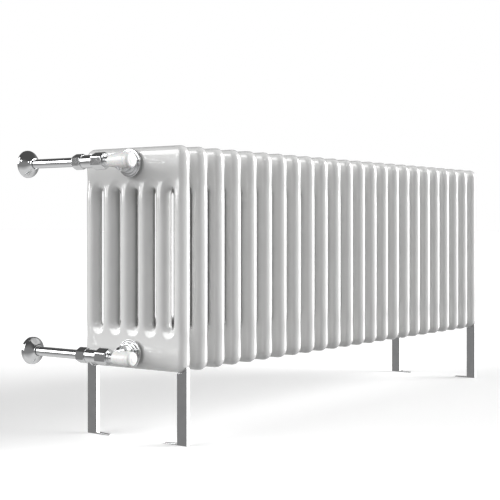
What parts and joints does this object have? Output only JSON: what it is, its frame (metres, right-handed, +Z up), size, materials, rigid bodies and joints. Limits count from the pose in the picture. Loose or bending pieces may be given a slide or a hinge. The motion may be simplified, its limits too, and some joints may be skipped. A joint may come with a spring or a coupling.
{
  "type": "column radiator",
  "caption": "Freestanding tubular steel column radiator on chromed legs, with chromed angle valves, white valve heads and supply pipes with wall plates at one end.",
  "frame": {"origin": "centre of the whole object's box, on the floor", "axes": "+X along the radiator from the valve end to the vent end, -Y its front, +Y the wall behind it, +Z up"},
  "size_m": [1.177, 0.2726, 0.475],
  "materials": {
    "white_enamel": "glossy stoved enamel",
    "chrome": "bright chrome plate",
    "white_plastic": "smooth moulded",
    "brass": "machined",
    "rubber": "moulded"
  },
  "bodies": {
    "radiator": {"section_01": "white_enamel", "section_02": "white_enamel", "section_03": "white_enamel", "section_04": "white_enamel", "section_05": "white_enamel", "section_06": "white_enamel", "section_07": "white_enamel", "section_08": "white_enamel", "section_09": "white_enamel", "section_10": "white_enamel", "section_11": "white_enamel", "section_12": "white_enamel", "section_13": "white_enamel", "section_14": "white_enamel", "section_15": "white_enamel", "section_16": "white_enamel", "section_17": "white_enamel", "section_18": "white_enamel", "section_19": "white_enamel", "section_20": "white_enamel", "section_21": "white_enamel", "section_22": "white_enamel", "section_23": "white_enamel", "section_24": "white_enamel", "leg_valve_end_front": "chrome", "leg_valve_end_rear": "chrome", "leg_vent_end_front": "chrome", "leg_vent_end_rear": "chrome", "upper_valve_body": "chrome", "upper_compression_nut": "chrome", "upper_supply_pipe": "chrome", "upper_union_nut": "chrome", "upper_union_tail": "chrome", "upper_bush": "chrome", "upper_gland": "brass", "upper_olive": "brass", "upper_bush_gasket": "rubber", "lower_valve_body": "chrome", "lower_compression_nut": "chrome", "lower_supply_pipe": "chrome", "lower_union_nut": "chrome", "lower_union_tail": "chrome", "lower_bush": "chrome", "lower_gland": "brass", "lower_olive": "brass", "lower_bush_gasket": "rubber", "vent_plug": "chrome", "blank_plug": "chrome"},
    "upper_control": {"upper_hand_wheel": "white_plastic", "upper_spindle": "brass"},
    "upper_obturator": {"upper_clack": "brass", "upper_washer": "rubber"},
    "lower_cap": {"lower_lockshield_cap": "white_plastic"},
    "lower_control": {"lower_spindle": "brass"},
    "lower_obturator": {"lower_clack": "brass", "lower_washer": "rubber"},
    "vent_screw": {"bleed_screw": "brass"},
    "upper_plate": {"upper_wall_plate": "chrome"},
    "lower_plate": {"lower_wall_plate": "chrome"}
  },
  "joints": [
    {"name": "upper_head_turn", "type": "hinge", "parent": "radiator", "child": "upper_control", "pos_m": [-0.56605, -0.02875, 0.449], "axis": [0, 1, 0], "range_deg": [0, 900]},
    {"name": "upper_clack_slide", "type": "slide", "parent": "radiator", "child": "upper_obturator", "axis": [0, 1, 0], "range_m": [0, 0.00375]},
    {"name": "lower_cap_pull", "type": "slide", "parent": "radiator", "child": "lower_cap", "axis": [0, -1, 0], "range_m": [0, 0.04]},
    {"name": "lower_spindle_turn", "type": "hinge", "parent": "radiator", "child": "lower_control", "pos_m": [-0.55705, -0.02875, 0.141], "axis": [0, 1, 0], "range_deg": [0, 900]},
    {"name": "lower_clack_slide", "type": "slide", "parent": "radiator", "child": "lower_obturator", "axis": [0, 1, 0], "range_m": [0, 0.00375]},
    {"name": "bleed_screw_turn", "type": "hinge", "parent": "radiator", "child": "vent_screw", "pos_m": [0.57495, -0.02875, 0.449], "axis": [1, 0, 0], "range_deg": [0, 360]},
    {"name": "upper_plate_slide", "type": "slide", "parent": "radiator", "child": "upper_plate", "axis": [0, -1, 0], "range_m": [0, 0.08]},
    {"name": "lower_plate_slide", "type": "slide", "parent": "radiator", "child": "lower_plate", "axis": [0, -1, 0], "range_m": [0, 0.08]}
  ],
  "couplings": [
    {"joint": "upper_head_turn", "follows": "upper_clack_slide", "rad_per_m": 4188.4},
    {"joint": "lower_spindle_turn", "follows": "lower_clack_slide", "rad_per_m": 4188.4}
  ]
}
